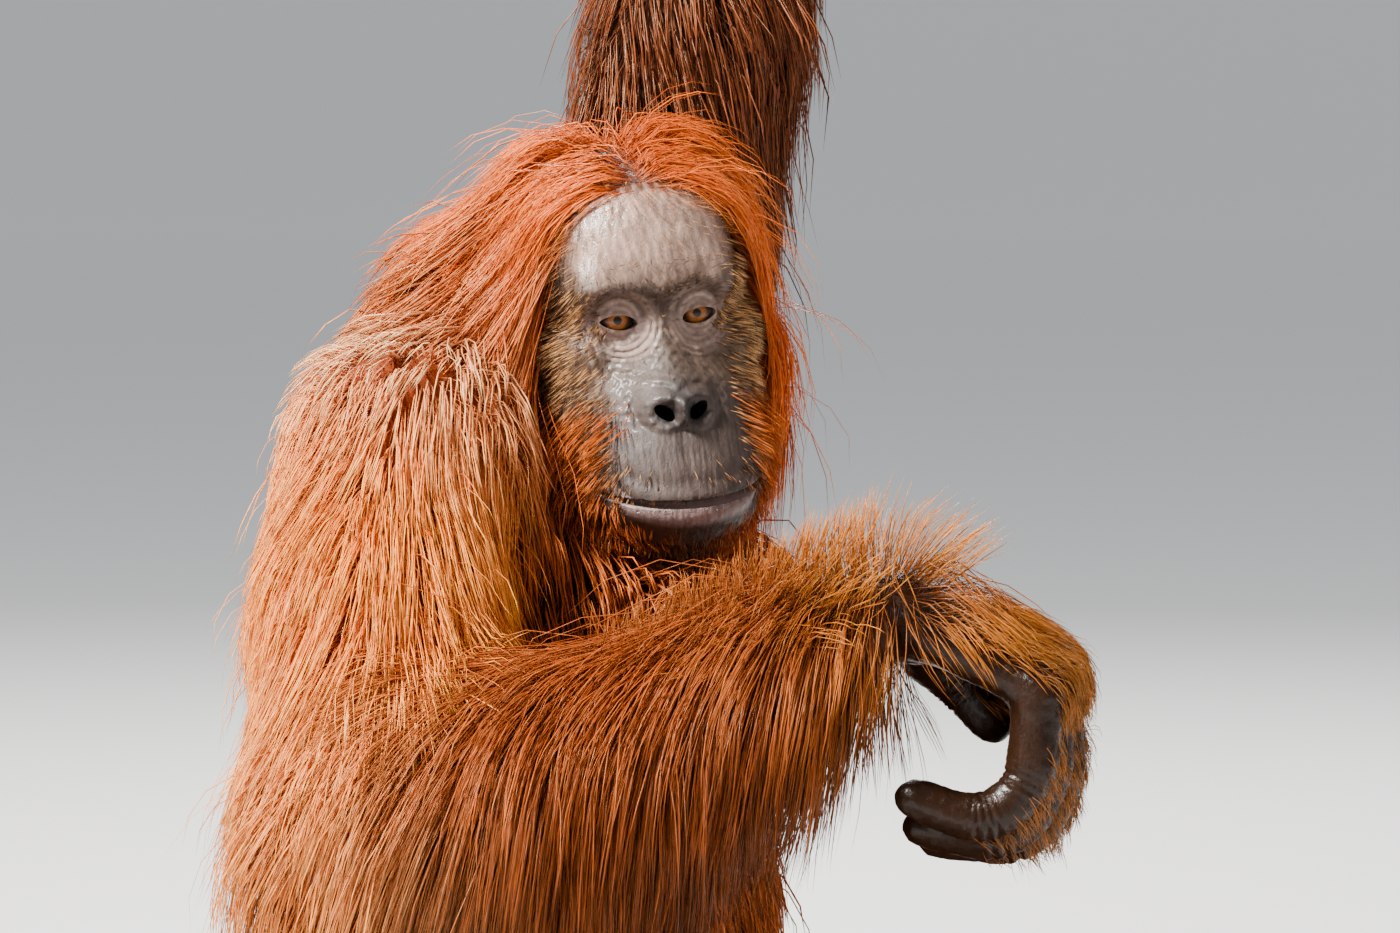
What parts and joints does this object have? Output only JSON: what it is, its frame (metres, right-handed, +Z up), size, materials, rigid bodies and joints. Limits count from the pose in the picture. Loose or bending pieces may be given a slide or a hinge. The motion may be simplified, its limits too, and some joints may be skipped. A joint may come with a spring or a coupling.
{
  "type": "orangutan",
  "caption": "Life-size seated adult female orangutan with one arm raised to a cut branch on a rod, the other forearm resting on its raised knee, on a flat display base.",
  "frame": {"origin": "centre of the display base's underside", "axes": "+Z up, the animal's chest faces -Y and its left side is +X"},
  "size_m": [0.84, 0.76, 1.4012],
  "materials": {
    "coat": "long orange-red hair",
    "face": "bare dark grey skin, slightly shiny",
    "hide": "bare brown-black skin, worn smooth",
    "eye": "wet amber-brown eye",
    "bark": "grey-brown bark",
    "base": "dark satin-varnished wood",
    "steel": "plain satin steel"
  },
  "bodies": {
    "root": {"ear_left": "face", "ear_right": "face", "eye_left": "eye", "eye_right": "eye", "finger_index_left": "hide", "finger_index_right": "hide", "finger_little_left": "hide", "finger_little_right": "hide", "finger_middle_left": "hide", "finger_middle_right": "hide", "finger_ring_left": "hide", "finger_ring_right": "hide", "foot_left": "hide", "foot_right": "hide", "forearm_left": "coat", "forearm_right": "coat", "hand_left": "hide", "hand_right": "hide", "head": "face", "neck": "coat", "perch_branch": "bark", "shin_left": "coat", "shin_right": "coat", "stand_base": "base", "stand_rod": "steel", "thigh_left": "coat", "thigh_right": "coat", "thumb_left": "hide", "thumb_right": "hide", "toe_big_left": "hide", "toe_big_right": "hide", "toe_index_left": "hide", "toe_index_right": "hide", "toe_little_left": "hide", "toe_little_right": "hide", "toe_middle_left": "hide", "toe_middle_right": "hide", "toe_ring_left": "hide", "toe_ring_right": "hide", "torso": "coat", "upper_arm_left": "coat", "upper_arm_right": "coat"}
  },
  "joints": []
}
